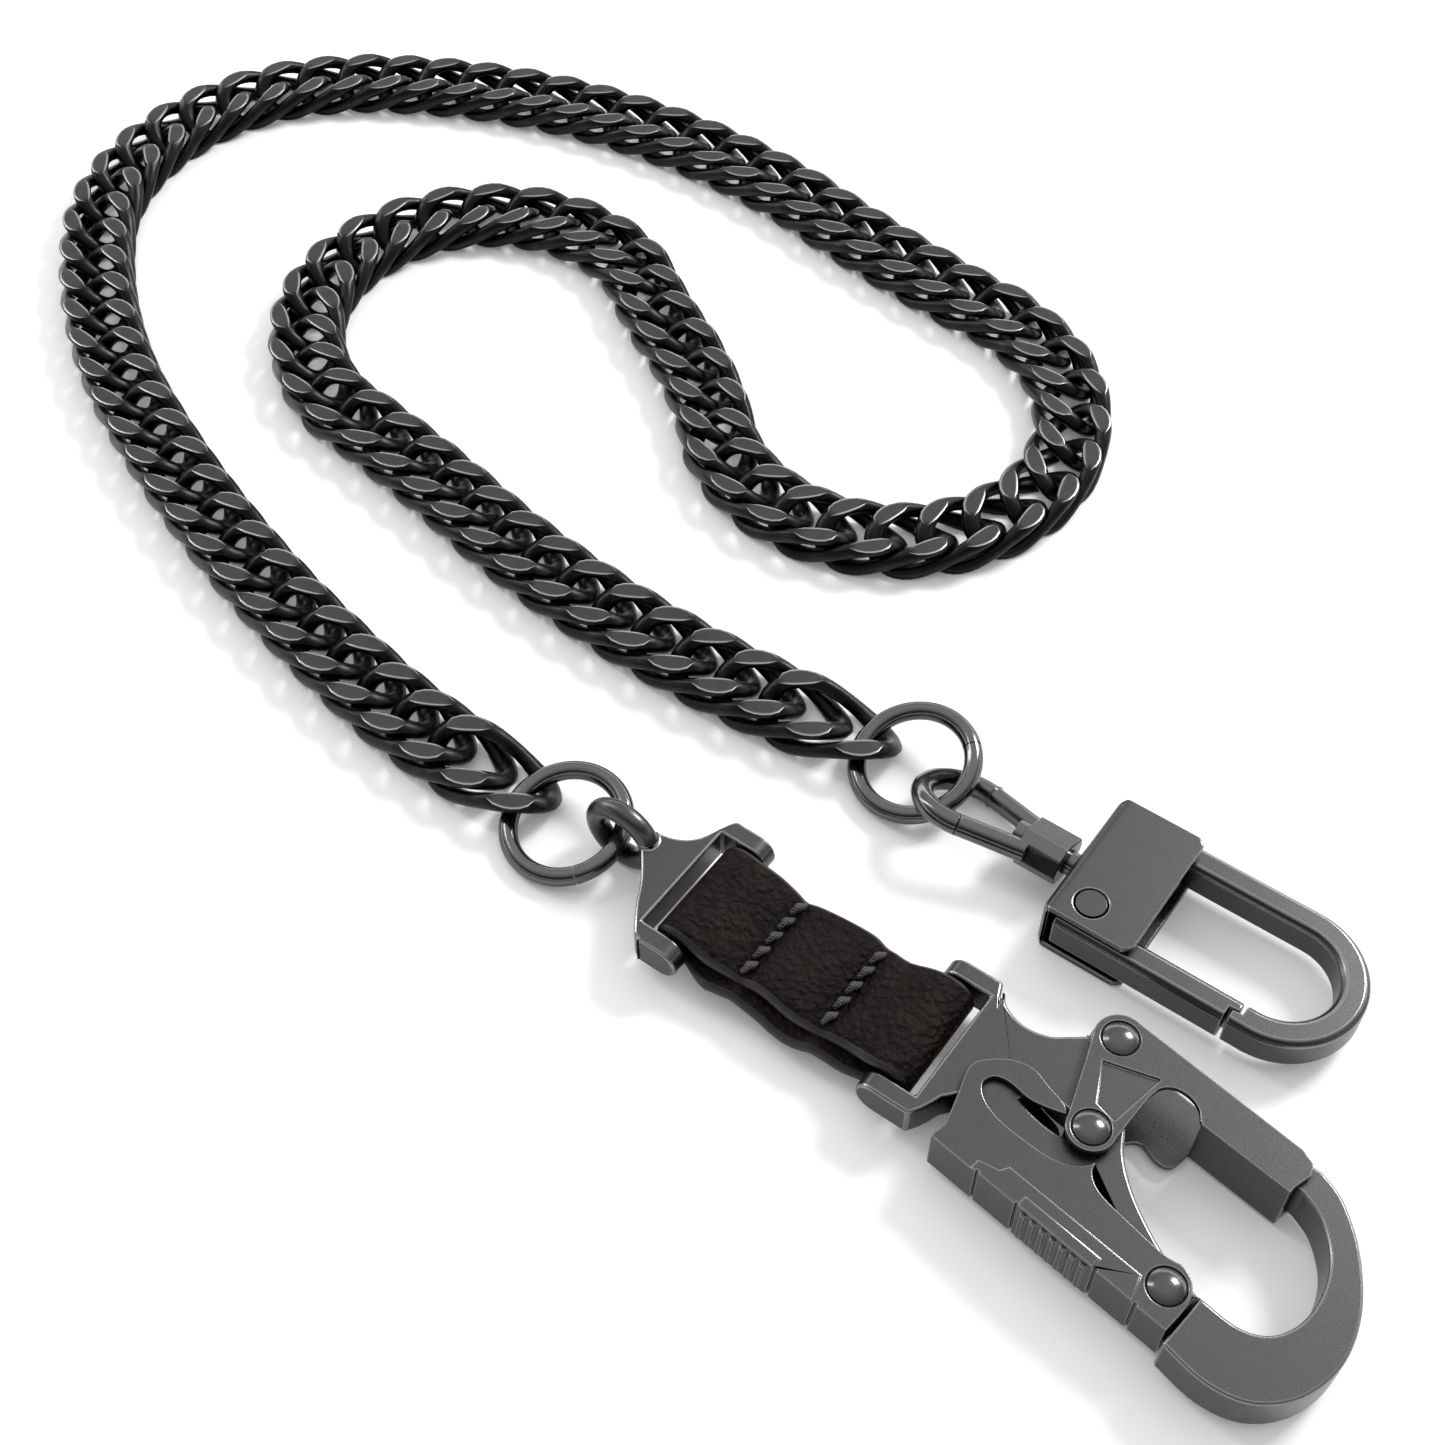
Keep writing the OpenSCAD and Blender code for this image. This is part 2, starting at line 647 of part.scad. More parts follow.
// One sheet folded over the ends of the hook: top, back and bottom
module hook_housing() {
    half = housing_w / 2;
    color("#5a5a5d")
        swivel_frame()
            difference() {
                rotate([90, 0, 0]) translate([0, 0, -half]) linear_extrude(housing_w)
                    difference() {
                        polygon(fold_outline(0));
                        polygon(fold_outline(housing_wall));
                    }
                // Corners of the sheet
                for (s = [-1, 1]) {
                    plate([[housing_l - 0.9, s * half], [housing_l, s * (half - 0.9)], [housing_l + 1, s * (half + 1)]],
                        -housing_h, 2 * housing_h);
                    plate([[0.7, s * half], [0, s * (half - 0.7)], [-1, s * (half + 1)]], -housing_h, 2 * housing_h);
                }
                rotate([0, 90, 0]) translate([0, 0, -1]) cylinder(h = 4, d = post_d);
                pin(bar_pivot, -housing_h, housing_h, bar_pin_d);
                pin(bar_root, -housing_h, 0, bar_pin_d);
                // Countersinks for the flat heads
                for (p = [bar_pivot, bar_root])
                    pin(p, -housing_h, flat_head_t - housing_h / 2, flat_head_d + 2 * groove_w);
                pin(bar_pivot, housing_h / 2 - flat_head_t, housing_h, flat_head_d + 2 * groove_w);
            }
}

module hook_bar() {
    color("#57575a")
        swivel_frame()
            difference() {
                union() {
                    straight_bar(housing_wall + 0.2, bend_x, bar_r) bar_section();
                    translate([bend_x, 0, 0]) rotate([0, 0, -90])
                        rotate_extrude(angle = 180, $fn = 96)
                            translate([bar_r, 0]) bar_section();
                    straight_bar(gate_end_x - lap + nose_gap, bend_x, -bar_r) bar_section();
                }
                // Step that leaves the outer half of the nose, outside the tongue of the gate
                translate([gate_end_x - 2 * lap, -bar_r, -bar_t])
                    cube([2 * lap + nose_gap, bar_w, 2 * bar_t]);
                pin(bar_root, -housing_h, bar_blind, bar_pin_d);
            }
}

module hook_gate_bar() {
    color("#57575a")
        swivel_frame()
            difference() {
                union() {
                    straight_bar(bar_pivot[0] - tail, gate_end_x, -bar_r) bar_section();
                    pin(bar_pivot, -bar_t / 2, bar_t / 2, lug_d);
                }
                translate([gate_end_x - lap, -bar_r - bar_w, -bar_t])
                    cube([2 * lap, bar_w + side_gap, 2 * bar_t]);
                pin(bar_pivot, -bar_t, bar_t, bar_pin_d + 2 * run_fit);
            }
}

// The heads of both rivets are flat and lie in the housing, each with a ring of play round it
module hook_gate_rivet() {
    color("#6a6a6d")
        swivel_frame() {
            pin(bar_pivot, -housing_h / 2, housing_h / 2, bar_pin_d);
            for (z = [-housing_h / 2, housing_h / 2 - flat_head_t])
                pin(bar_pivot, z, z + flat_head_t, flat_head_d);
        }
}

module hook_bar_rivet() {
    color("#6a6a6d")
        swivel_frame() {
            pin(bar_root, -housing_h / 2, bar_blind, bar_pin_d);
            pin(bar_root, -housing_h / 2, flat_head_t - housing_h / 2, flat_head_d);
        }
}

module hook_gate_spring() {
    wire = 0.26;
    swivel_frame() coil(bar_pivot, -housing_h / 2 + housing_wall + 0.02, bar_pin_d / 2 + wire, wire);
}

// ================= nodes =================

for (k = [1:segments])
    chain_links(k);
ring_strap_side();
ring_hook_side();
strap_fitting();
leather_strap();
snap_hook_body();
snap_gate();
lock_lever();
gate_pivot_rivet();
lock_pin_rivet();
lever_pivot_rivet();
gate_spring();
lever_spring();
swivel_eye();
swivel_post();
hook_housing();
hook_bar();
hook_gate_bar();
hook_gate_rivet();
hook_bar_rivet();
hook_gate_spring();
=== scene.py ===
"""Looks of a wallet chain: curb chain, split rings, leather strap, snap hook and swivel hook.

Every piece is a surface worked out on a grid, or a CAD node's own shape with its edges rounded.
"""

import json
from math import radians

import bmesh
import bpy
import numpy as np
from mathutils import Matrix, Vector


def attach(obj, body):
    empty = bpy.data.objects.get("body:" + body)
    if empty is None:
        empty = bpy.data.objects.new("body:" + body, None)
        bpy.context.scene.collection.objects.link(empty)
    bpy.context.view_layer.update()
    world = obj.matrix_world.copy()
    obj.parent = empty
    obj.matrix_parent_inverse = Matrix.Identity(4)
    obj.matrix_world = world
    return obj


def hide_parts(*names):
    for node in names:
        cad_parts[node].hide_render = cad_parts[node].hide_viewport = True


MM = 0.001

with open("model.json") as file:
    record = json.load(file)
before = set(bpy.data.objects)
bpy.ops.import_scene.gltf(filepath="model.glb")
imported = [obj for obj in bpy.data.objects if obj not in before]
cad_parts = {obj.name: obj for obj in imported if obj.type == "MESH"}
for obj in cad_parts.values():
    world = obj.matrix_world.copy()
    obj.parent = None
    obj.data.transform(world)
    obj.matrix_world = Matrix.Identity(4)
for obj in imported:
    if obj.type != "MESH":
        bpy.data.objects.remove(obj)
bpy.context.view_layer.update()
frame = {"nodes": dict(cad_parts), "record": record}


# ---------------------------------------------------------------- materials

# Sockets that share their name with others on the node are picked by number
FROM_LOW, FROM_HIGH, TO_LOW, TO_HIGH = 1, 2, 3, 4
FACTOR, COLOUR_A, COLOUR_B, COLOUR_OUT = 0, 6, 7, 2

PAINTED_HOLLOW_SHADE = "#060606"  # painted shade in hollows, partly plating that stays black there
GROOVE_SHADE = "#030202"  # painted shade in the groove a row of stitches presses in
CLOUD = 0.16  # how far a metal's two tones wander into each other
GLOSS_SPREAD = 0.06  # how far the grain moves a metal's roughness either way
GRAIN_DEPTH = 0.05  # relief of a metal's grain, in mm


def linear(code):
    """An sRGB hex colour as the linear RGBA that the shaders take."""
    s = np.array([int(code[i : i + 2], 16) for i in (1, 3, 5)]) / 255
    low = s / 12.92
    high = ((s + 0.055) / 1.055) ** 2.4
    return (*np.where(s <= 0.04045, low, high), 1.0)


def add(tree, kind, inputs=None, **settings):
    """Adds one node: settings are its properties, each input a value or another node's output."""
    node = tree.nodes.new("ShaderNode" + kind)
    for name, value in settings.items():
        setattr(node, name, value)
    for key, value in (inputs or {}).items():
        if isinstance(value, bpy.types.NodeSocket):
            tree.links.new(value, node.inputs[key])
        else:
            node.inputs[key].default_value = value
    return node


def blank(name):
    """A new material with its node tree emptied but for the output."""
    material = bpy.data.materials.new(name)
    material.use_nodes = True
    tree = material.node_tree
    tree.nodes.clear()
    return material, tree, tree.nodes.new("ShaderNodeOutputMaterial")


def plated_metal(name, dark, light, edge, rough, grain_mm, mottle_mm, bump, hollow_mm, wear_and_glint_mm=0):
    """Plated metal, cloudy in two tones at mottle_mm, with a surface grain of grain_mm.

    Faces marked 1 by the first attribute, those that look up or down, take the light tone as
    painted light, and the rest the dark tone as painted shade. A second attribute is 1 where a
    cut facet ends, and takes the edge colour: a painted highlight, partly plating rubbed thin.
    With the edge distance, what lies within it of a corner takes that colour instead. Hollows
    narrower than about hollow_mm are darkened to black: painted shade, partly plating left dark.
    """
    material, tree, out = blank(name)
    place = add(tree, "TexCoord").outputs["Object"]
    mottle = add(
        tree, "TexNoise", {"Vector": place, "Scale": 1 / (mottle_mm * MM), "Detail": 3.0}
    )
    grain = add(tree, "TexNoise", {"Vector": place, "Scale": 1 / (grain_mm * MM), "Detail": 2.0})
    # Marked faces take the light tone, painted light, and the rest the dark tone, painted shade
    painted_lit_faces = add(tree, "Attribute", attribute_name="painted_lit_faces").outputs["Fac"]
    spread = add(
        tree,
        "MapRange",
        {
            "Value": mottle.outputs["Fac"],
            FROM_LOW: 0.35,
            FROM_HIGH: 0.65,
            TO_LOW: -CLOUD,
            TO_HIGH: CLOUD,
        },
    )
    tone = add(
        tree, "Math", {0: painted_lit_faces, 1: spread.outputs["Result"]}, operation="ADD", use_clamp=True
    )
    plate = add(
        tree,
        "Mix",
        {FACTOR: tone.outputs["Value"], COLOUR_A: linear(dark), COLOUR_B: linear(light)},
        data_type="RGBA",
    )
    # Corners, or the rims of cut facets, take the edge colour: a painted highlight, partly plating
    # rubbed thin
    if wear_and_glint_mm:
        corner = add(
            tree,
            "AmbientOcclusion",
            {"Distance": wear_and_glint_mm * MM},
            samples=6,
            inside=True,
            only_local=True,
        )
        wear_and_glint = add(
            tree,
            "MapRange",
            {
                "Value": corner.outputs["AO"],
                FROM_LOW: 0.85,
                FROM_HIGH: 0.35,
                TO_LOW: 0.0,
                TO_HIGH: 0.8,
            },
        ).outputs["Result"]
    else:
        wear_and_glint = add(tree, "Attribute", attribute_name="rim_wear_and_glint").outputs["Fac"]
    with_wear_and_glint = add(
        tree,
        "Mix",
        {FACTOR: wear_and_glint, COLOUR_A: plate.outputs[COLOUR_OUT], COLOUR_B: linear(edge)},
        data_type="RGBA",
    )
    # Hollows are darkened towards black: painted shade, partly plating that stays black there
    open_air = add(tree, "AmbientOcclusion", {"Distance": hollow_mm * MM}, samples=6)
    shade_in_hollows = add(
        tree,
        "MapRange",
        {
            "Value": open_air.outputs["AO"],
            FROM_LOW: 0.25,
            FROM_HIGH: 0.8,
            TO_LOW: 0.9,
            TO_HIGH: 0.0,
        },
    )
    colour = add(
        tree,
        "Mix",
        {
            FACTOR: shade_in_hollows.outputs["Result"],
            COLOUR_A: with_wear_and_glint.outputs[COLOUR_OUT],
            COLOUR_B: linear(PAINTED_HOLLOW_SHADE),
        },
        data_type="RGBA",
    )
    gloss = add(
        tree,
        "MapRange",
        {
            "Value": grain.outputs["Fac"],
            FROM_LOW: 0.3,
            FROM_HIGH: 0.7,
            TO_LOW: rough - GLOSS_SPREAD,
            TO_HIGH: rough + GLOSS_SPREAD,
        },
    )
    height = add(
        tree,
        "Bump",
        {"Height": grain.outputs["Fac"], "Strength": bump, "Distance": GRAIN_DEPTH * MM},
    )
    shader = add(
        tree,
        "BsdfPrincipled",
        {
            "Base Color": colour.outputs[COLOUR_OUT],
            "Metallic": 1.0,
            "Roughness": gloss.outputs["Result"],
            "Normal": height.outputs["Normal"],
        },
    )
    tree.links.new(shader.outputs["BSDF"], out.inputs["Surface"])
    return material


def grained_leather(name, dark, light, pebble_mm, crease_mm, relief_mm):
    """Chrome-tanned cowhide, embossed: pebbles with fine creases between, and a soft waxy shine.

    A slow noise bends the pebbles, so that they don't stand in rows, and a cloud of 5 mm moves
    the colour between its two tones. An attribute darkens what the stitches press in: painted
    shade in the groove.
    """
    bend_mm, cloud_mm = 2.2, 5
    material, tree, out = blank(name)
    place = add(tree, "TexCoord").outputs["Object"]
    bent = add(tree, "TexNoise", {"Vector": place, "Scale": 1 / (bend_mm * MM), "Detail": 2.0})
    shift = add(
        tree,
        "VectorMath",
        {0: bent.outputs["Color"], "Scale": 0.55 * MM},
        operation="SCALE",
    )
    where = add(tree, "VectorMath", {0: place, 1: shift.outputs["Vector"]}, operation="ADD")
    pebbles = add(
        tree,
        "TexVoronoi",
        {"Vector": where.outputs["Vector"], "Scale": 1 / (pebble_mm * MM), "Smoothness": 0.6},
        feature="SMOOTH_F1",
    )
    creases = add(
        tree, "TexNoise", {"Vector": place, "Scale": 1 / (crease_mm * MM), "Detail": 4.0}
    )
    cloud = add(tree, "TexNoise", {"Vector": place, "Scale": 1 / (cloud_mm * MM), "Detail": 2.0})
    relief = add(
        tree,
        "Math",
        {0: creases.outputs["Fac"], 1: pebbles.outputs["Distance"]},
        operation="SUBTRACT",
    )
    tone = add(
        tree,
        "MapRange",
        {
            "Value": cloud.outputs["Fac"],
            FROM_LOW: 0.3,
            FROM_HIGH: 0.7,
            TO_LOW: 0.0,
            TO_HIGH: 1.0,
        },
    )
    dyed = add(
        tree,
        "Mix",
        {FACTOR: tone.outputs["Result"], COLOUR_A: linear(dark), COLOUR_B: linear(light)},
        data_type="RGBA",
    )
    height = add(
        tree,
        "Bump",
        {"Height": relief.outputs["Value"], "Strength": 1.0, "Distance": relief_mm * MM},
    )
    gloss = add(
        tree,
        "MapRange",
        {
            "Value": pebbles.outputs["Distance"],
            FROM_LOW: 0.0,
            FROM_HIGH: 0.8,
            TO_LOW: 0.38,
            TO_HIGH: 0.62,
        },
    )
    # The groove under the stitches is darkened: painted shade
    pressed = add(tree, "Attribute", attribute_name="groove").outputs["Fac"]
    colour = add(
        tree,
        "Mix",
        {FACTOR: pressed, COLOUR_A: dyed.outputs[COLOUR_OUT], COLOUR_B: linear(GROOVE_SHADE)},
        data_type="RGBA",
    )
    shader = add(
        tree,
        "BsdfPrincipled",
        {
            "Base Color": colour.outputs[COLOUR_OUT],
            "Roughness": gloss.outputs["Result"],
            "Specular IOR Level": 0.09,
            "Normal": height.outputs["Normal"],
        },
    )
    tree.links.new(shader.outputs["BSDF"], out.inputs["Surface"])
    return material


def painted_edge(name, code, ripple_mm, relief_mm):
    """Edge paint on the cut side of leather: black, nearly smooth, rippled by the fibres."""
    material, tree, out = blank(name)
    place = add(tree, "TexCoord").outputs["Object"]
    ripple = add(
        tree, "TexNoise", {"Vector": place, "Scale": 1 / (ripple_mm * MM), "Detail": 3.0}
    )
    height = add(
        tree,
        "Bump",
        {"Height": ripple.outputs["Fac"], "Strength": 0.5, "Distance": relief_mm * MM},
    )
    shader = add(
        tree,
        "BsdfPrincipled",
        {"Base Color": linear(code), "Roughness": 0.5, "Normal": height.outputs["Normal"]},
    )
    tree.links.new(shader.outputs["BSDF"], out.inputs["Surface"])
    return material


def waxed_thread(name, code, relief_mm):
    """Heavy waxed polyester thread: its fibres show as slanting bands along its UV length."""
    material, tree, out = blank(name)
    uv = add(tree, "TexCoord").outputs["UV"]
    fibres = add(
        tree,
        "TexWave",
        {"Vector": uv, "Scale": 1.1, "Distortion": 0.4},
        bands_direction="DIAGONAL",
    )
    height = add(
        tree,
        "Bump",
        {"Height": fibres.outputs["Fac"], "Strength": 0.8, "Distance": relief_mm * MM},
    )
    shader = add(
        tree,
        "BsdfPrincipled",
        {"Base Color": linear(code), "Roughness": 0.55, "Normal": height.outputs["Normal"]},
    )
    tree.links.new(shader.outputs["BSDF"], out.inputs["Surface"])
    return material


# Curb chain: black-nickel plated steel, tumbled and flat-cut. Its satin facets take the light
# tone, painted light, its round wire the dark tone, painted shade, and its rims the edge colour,
# a painted highlight, partly the rubbing of the tumbling barrel
# The grains of all metals are drawn coarser than real ones, which are too fine to show
CHAIN_METAL = plated_metal(
    "black_nickel_tumbled",
    dark="#242424",
    light="#494949",
    edge="#a8a8a8",
    rough=0.33,
    grain_mm=0.12,
    mottle_mm=3.0,
    bump=0.25,
    hollow_mm=1.6,
)
# Rings and swivel: the same plating on smooth wire and pins, left glossy, so it mirrors the room
RING_METAL = plated_metal(
    "black_nickel_drawn_wire",
    dark="#5c5c5d",
    light="#686869",
    edge="#686869",
    rough=0.15,
    grain_mm=0.2,
    mottle_mm=4.0,
    bump=0.08,
    hollow_mm=0.8,
)
# Hooks: gunmetal plated zinc die-casting, satin, with a lighter tone on faces that look up or
# down as painted light, a darker one on its walls as painted shade, and the edge colour at its
# corners, a painted highlight, partly plating rubbed thin
HOOK_METAL = plated_metal(
    "gunmetal_die_cast",
    dark="#4c4c4b",
    light="#545453",
    edge="#a8a8a6",
    rough=0.31,
    grain_mm=0.16,
    mottle_mm=2.4,
    bump=0.2,
    hollow_mm=0.9,
    wear_and_glint_mm=0.28,
)
# Edges of the castings: the same plating in a lighter colour, so each edge is a bright line: a
# painted highlight, partly plating rubbed thin by handling
EDGE_WEAR_AND_GLINT_METAL = plated_metal(
    "gunmetal_edge_wear_and_glint",
    dark="#787876",
    light="#8a8a88",
    edge="#8a8a88",
    rough=0.26,
    grain_mm=0.16,
    mottle_mm=1.2,
    bump=0.1,
    hollow_mm=0.4,
)
# Rivets: black-nickel plated steel with pressed heads, smooth, so each dome holds one highlight
RIVET_METAL = plated_metal(
    "nickel_pressed_rivet",
    dark="#4c4c4b",
    light="#5c5c5b",
    edge="#5c5c5b",
    rough=0.2,
    grain_mm=0.2,
    mottle_mm=2.0,
    bump=0.1,
    hollow_mm=0.5,
)
# Springs: hard drawn spring wire, bare, and so paler than everything plated
SPRING_METAL = plated_metal(
    "spring_wire_bare",
    dark="#7c7c7e",
    light="#98989a",
    edge="#98989a",
    rough=0.25,
    grain_mm=0.1,
    mottle_mm=1.0,
    bump=0.1,
    hollow_mm=0.3,
)
# Strap: dark brown leather that is almost black, with a grain that catches a little light
LEATHER = grained_leather(
    "cowhide_pebbled",
    dark="#0d0706",
    light="#1b1110",
    pebble_mm=0.9,
    crease_mm=0.5,
    relief_mm=0.4,
)
LEATHER_EDGE = painted_edge("leather_edge_paint", "#080606", ripple_mm=0.7, relief_mm=0.12)
THREAD = waxed_thread("polyester_thread_waxed", "#383432", relief_mm=0.1)


# ---------------------------------------------------------------- meshes

LOOSE_LINK = 1e-7  # corners of loose triangles closer than this, in metres, are one point
LOOSE_CAST = 1e-6


def piece(name, points, faces, material, body, replaced=(), attributes=None, uv=None):
    """A mesh object from arrays, smooth shaded, riding on a body and standing for CAD nodes."""
    mesh = bpy.data.meshes.new(name)
    mesh.from_pydata(points.reshape(-1, 3).tolist(), [], faces.reshape(-1, 4).tolist())
    mesh.shade_smooth()
    for key, values in (attributes or {}).items():
        layer = mesh.attributes.new(key, "FLOAT", "POINT")
        layer.data.foreach_set("value", np.ascontiguousarray(values, dtype=np.float32).ravel())
    if uv is not None:
        corner = np.empty(len(mesh.loops), dtype=np.int32)
        mesh.loops.foreach_get("vertex_index", corner)
        layer = mesh.uv_layers.new(name="UVMap")
        layer.data.foreach_set("uv", uv.reshape(-1, 2)[corner].ravel())
    mesh.materials.append(material)
    thing = bpy.data.objects.new(name, mesh)
    bpy.context.scene.collection.objects.link(thing)
    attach(thing, body)
    if replaced:
        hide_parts(*replaced)
    return thing


def ring_faces(rows, columns, closed_rows=True):
    """Quads of a grid whose columns close round, and whose rows close too when asked."""
    index = np.arange(rows * columns).reshape(rows, columns)
    if closed_rows:
        index = np.vstack([index, index[:1]])
    index = np.hstack([index, index[:, :1]])
    corners = [index[:-1, :-1], index[:-1, 1:], index[1:, 1:], index[1:, :-1]]
    return np.stack(corners, axis=-1).reshape(-1, 4)


def welded(name):
    """Points and edges of a CAD node with its loose triangles joined."""
    joined = bmesh.new()
    joined.from_mesh(frame["nodes"][name].data)
    bmesh.ops.remove_doubles(joined, verts=joined.verts, dist=LOOSE_LINK)
    mesh = bpy.data.meshes.new("welded")
    joined.to_mesh(mesh)
    joined.free()
    points = np.empty(len(mesh.vertices) * 3)
    edges = np.empty(len(mesh.edges) * 2, dtype=np.int64)
    mesh.vertices.foreach_get("co", points)
    mesh.edges.foreach_get("vertices", edges)
    bpy.data.meshes.remove(mesh)
    return points.reshape(-1, 3), edges.reshape(-1, 2)


def plan_axis(points):
    """Centre of a cloud of points and the direction of its widest spread in plan, towards +x."""
    centre = points.mean(axis=0)
    spread, axes = np.linalg.eigh(np.cov((points - centre)[:, :2].T))
    axis = axes[:, np.argmax(spread)]
    return centre, axis if axis[0] > 0 else -axis


# ---------------------------------------------------------------- chain

# The link's sizes in mm, as its solids have them
WIRE = 1.9  # diameter of the wire
LINK_A = 8.1  # half the length of its centreline
LINK_B = 4.55  # half the width of its centreline
RISE = 2.0  # how far its corners rise and sink
FLAT = 2.4  # height of its cuts over its middle
# How much wider the wire is pressed, as a share: at the corners, and outside and inside the ends
PRESS = 0.4
END_OUTSIDE, END_INSIDE = 0.58, 0.26
END_POWER = 10


def link_surface(rows=48, arc=5):
    """One curb link about its own centre, in mm, with where it is cut flat and where its rims are.

    Its centreline is (A cos t, B sin t, -RISE sin 2t), an oval twisted so that opposite corners
    rise and sink. A circle of the wire's size is carried along it, u sideways and v up, widened
    by PRESS sin^2 2t at the corners and by END_OUTSIDE or END_INSIDE times cos^10 t at the two
    ends, where links are pressed together, and is cut off at z = FLAT and z = -FLAT. Four points
    lie across each cut: the outer two are its rims, marked for a bright edge colour, a painted
    highlight, partly the tumbling barrel's rubbing. The cuts are marked for the light tone,
    painted light. Where the wire stays under a cut, the four points close its round top instead.
    """
    t = np.linspace(0, 2 * np.pi, rows, endpoint=False)[:, None]
    line = np.stack([LINK_A * np.cos(t), LINK_B * np.sin(t), -RISE * np.sin(2 * t)], axis=-1)
    ahead = np.stack(
        [-LINK_A * np.sin(t), LINK_B * np.cos(t), -2 * RISE * np.cos(2 * t)], axis=-1
    )
    ahead /= np.linalg.norm(ahead, axis=-1, keepdims=True)
    side = np.stack([ahead[..., 1], -ahead[..., 0], np.zeros_like(t)], axis=-1)
    side /= np.linalg.norm(side, axis=-1, keepdims=True)
    up = np.cross(side, ahead)

    # Angles round the wire's section, from its side to where a cut begins: the greatest, which
    # stands for no cut at all, and the greatest that still leaves a facet. The round walls stop
    # short of a cut by soft
    closed, facet, soft = np.radians([84, 78, 6])
    steep = WIRE / 2 * up[..., 2]
    limit = np.sin(closed)
    top = np.arcsin(np.clip((FLAT - line[..., 2]) / steep, -limit, limit))
    low = np.arcsin(np.clip((-FLAT - line[..., 2]) / steep, -limit, limit))
    right = low + soft + (top - low - 2 * soft) * np.linspace(0, 1, arc)
    left = right[:, ::-1]
    across = np.array([0.95, 0.72, -0.72, -0.95])
    level = np.zeros_like(across)
    u = np.hstack([np.cos(right), across * np.cos(top), -np.cos(left), -across * np.cos(low)])
    v = np.hstack([np.sin(right), np.sin(top) + level, np.sin(left), np.sin(low) + level])
    ends = np.where(u > 0, END_OUTSIDE, END_INSIDE) * np.cos(t) ** END_POWER
    wide = 1 + PRESS * np.sin(2 * t) ** 2 + ends
    points = line + WIRE / 2 * (side * (wide * u)[..., None] + up * v[..., None])

    cut, rim_wear_and_glint = np.zeros_like(u), np.zeros_like(u)
    count = len(across)
    for first, deep in ((arc, top < facet), (2 * arc + count, low > -facet)):
        cut[:, first : first + count] = deep
        rim_wear_and_glint[:, first : first + count] = deep * np.array([1, 0, 0, 1])
    return points, cut, rim_wear_and_glint


def shells(points, edges):
    """The closed shells in a welded mesh: each point takes the lowest number it is joined to."""
    label = np.arange(len(points))
    while True:
        low = label[edges].min(axis=1)
        lower = label.copy()
        np.minimum.at(lower, edges[:, 0], low)
        np.minimum.at(lower, edges[:, 1], low)
        if (lower == label).all():
            return [points[label == k] for k in np.unique(label)]
        label = lower


def chain_segment(node, body):
    """The links of one chain body, each placed where the CAD node has its link."""
    local, cut, rim_wear_and_glint = link_surface()
    rows, columns = cut.shape
    faces = ring_faces(rows, columns)
    all_points, all_faces = [], []
    for shell in shells(*welded(node)):
        centre, axis = plan_axis(shell)
        turn = np.array([[axis[0], axis[1], 0], [-axis[1], axis[0], 0], [0, 0, 1]])
        all_faces.append(faces + rows * columns * len(all_points))
        all_points.append(local.reshape(-1, 3) * MM @ turn + centre)
    count = len(all_points)
    # Facets painted light, walls painted shade, rims a painted highlight in the edge colour
    piece(
        node.replace("chain", "curb"),
        np.vstack(all_points),
        np.vstack(all_faces),
        CHAIN_METAL,
        body,
        [node],
        {"painted_lit_faces": np.tile(cut.ravel(), count), "rim_wear_and_glint": np.tile(rim_wear_and_glint.ravel(), count)},
    )


for name in sorted(n for n in frame["nodes"] if n.startswith("chain_links_")):
    chain_segment(name, name)


# ---------------------------------------------------------------- metal parts


def dressed(node, body, material, round_mm, edge=None):
    """A CAD node's shape as it comes from the die: triangles joined into faces, edges rounded.

    Faces that look up or down take the light tone, painted light, and walls the dark tone,
    painted shade. The rounded edges take the material edge where it is given.
    """
    crease = radians(30)  # faces that meet at more than this meet at an edge
    one_face = radians(0.6)  # triangles that meet at less than this are one face
    level = 0.8  # how far up or down a face's normal points where it counts as level
    mesh = frame["nodes"][node].data.copy()
    joined = bmesh.new()
    joined.from_mesh(mesh)
    bmesh.ops.remove_doubles(joined, verts=joined.verts, dist=LOOSE_CAST)
    bmesh.ops.dissolve_limit(
        joined, angle_limit=one_face, verts=joined.verts, edges=joined.edges, delimit=set()
    )
    joined.to_mesh(mesh)
    joined.free()
    mesh.materials.clear()
    mesh.materials.append(material)
    mesh.shade_smooth()
    mesh.set_sharp_from_angle(angle=crease)
    # Level faces are marked for the light tone, painted light, walls for the dark tone, painted
    # shade
    facing = np.empty(len(mesh.polygons) * 3)
    mesh.polygons.foreach_get("normal", facing)
    painted_lit_faces = (np.abs(facing.reshape(-1, 3)[:, 2]) > level).astype(np.float32)
    mesh.attributes.new("painted_lit_faces", "FLOAT", "FACE").data.foreach_set("value", painted_lit_faces)
    thing = bpy.data.objects.new(node + "_cast", mesh)
    bpy.context.scene.collection.objects.link(thing)
    if round_mm:
        bevel = thing.modifiers.new("rounded edges", "BEVEL")
        bevel.width = round_mm * MM
        bevel.segments = 3
        bevel.limit_method = "ANGLE"
        bevel.angle_limit = crease
        bevel.use_clamp_overlap = False
        if edge:
            mesh.materials.append(edge)
            bevel.material = 1
        normals = thing.modifiers.new("flat faces stay flat", "WEIGHTED_NORMAL")
        normals.keep_sharp = True
    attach(thing, body)
    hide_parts(node)


